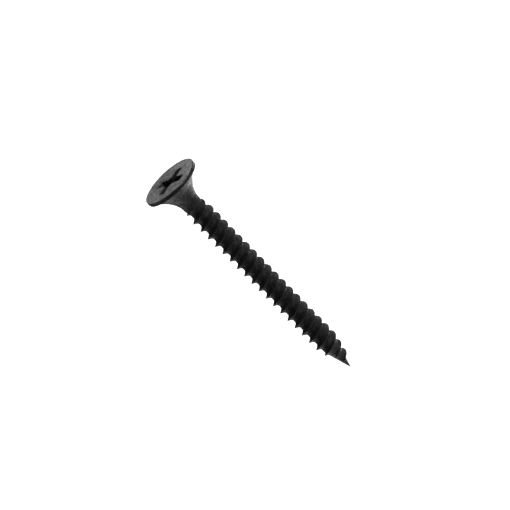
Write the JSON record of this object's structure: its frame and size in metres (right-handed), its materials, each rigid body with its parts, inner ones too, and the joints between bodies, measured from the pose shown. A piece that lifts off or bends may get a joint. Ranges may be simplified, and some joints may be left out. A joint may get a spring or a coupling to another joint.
{
  "type": "drywall screw",
  "caption": "Black phosphated steel screw with a bugle head, cross recess, right-hand thread and needle point, for fixing board to wood.",
  "frame": {"origin": "centre of the head's flat top face, on the screw's axis", "axes": "+Z along the screw's axis, out of the drive recess towards the driver; the shank and the point lie along -Z"},
  "size_m": [0.008, 0.008, 0.035],
  "materials": {
    "black_phosphate": "matte"
  },
  "bodies": {
    "root": {"bugle_head": "black_phosphate", "shank": "black_phosphate", "first_thread": "black_phosphate", "second_thread": "black_phosphate", "point": "black_phosphate"}
  },
  "joints": []
}
